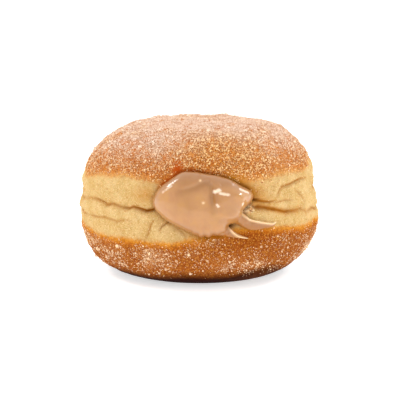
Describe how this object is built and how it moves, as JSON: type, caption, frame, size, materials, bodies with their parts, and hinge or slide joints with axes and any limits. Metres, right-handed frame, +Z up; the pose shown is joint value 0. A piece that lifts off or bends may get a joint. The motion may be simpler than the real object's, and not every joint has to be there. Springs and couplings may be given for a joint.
{
  "type": "cream filled doughnut",
  "caption": "Round fried yeast doughnut with a creased pale girth and sugared crust, its smooth cream filling welling out of a mouth in the side and running into a pocket within.",
  "frame": {"origin": "centre of the flat base, on the surface the doughnut rests on", "axes": "+Z up, -Y out of the mouth where the filling shows, +X to the right of someone who faces the mouth"},
  "size_m": [0.0859, 0.0923, 0.0548],
  "materials": {
    "dough": "golden brown fried crust under a coat of fine sugar, paler round the girth",
    "filling": "smooth glossy light brown cream"
  },
  "bodies": {
    "root": {"dough": "dough", "filling": "filling"}
  },
  "joints": []
}
